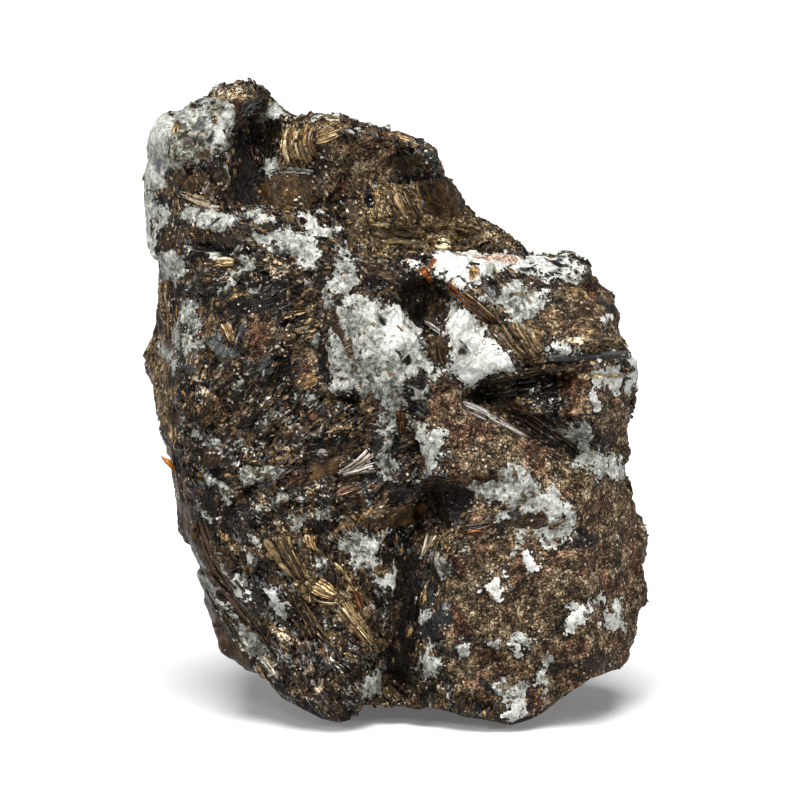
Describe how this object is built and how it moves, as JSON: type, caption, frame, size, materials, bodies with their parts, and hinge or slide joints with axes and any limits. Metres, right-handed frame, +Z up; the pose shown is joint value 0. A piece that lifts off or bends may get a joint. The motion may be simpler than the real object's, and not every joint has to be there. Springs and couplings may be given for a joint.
{
  "type": "astrophyllite crystal specimen",
  "caption": "Rough hand specimen of bronze bladed crystals in white feldspar and brown granular rock, resting on its broken base.",
  "frame": {"origin": "centre of the bounding box's underside, on the surface that the specimen rests on", "axes": "+Z up along the specimen's height, +X to the right seen from the front, -Y towards the viewer"},
  "size_m": [0.0758, 0.044, 0.0947],
  "materials": {
    "mixed_rock": "broken mineral surface: bronze mica-like blades and dark crystal faces that glint, white feldspar and dull brown grains"
  },
  "bodies": {
    "root": {"astrophyllite_rock": "mixed_rock"}
  },
  "joints": []
}
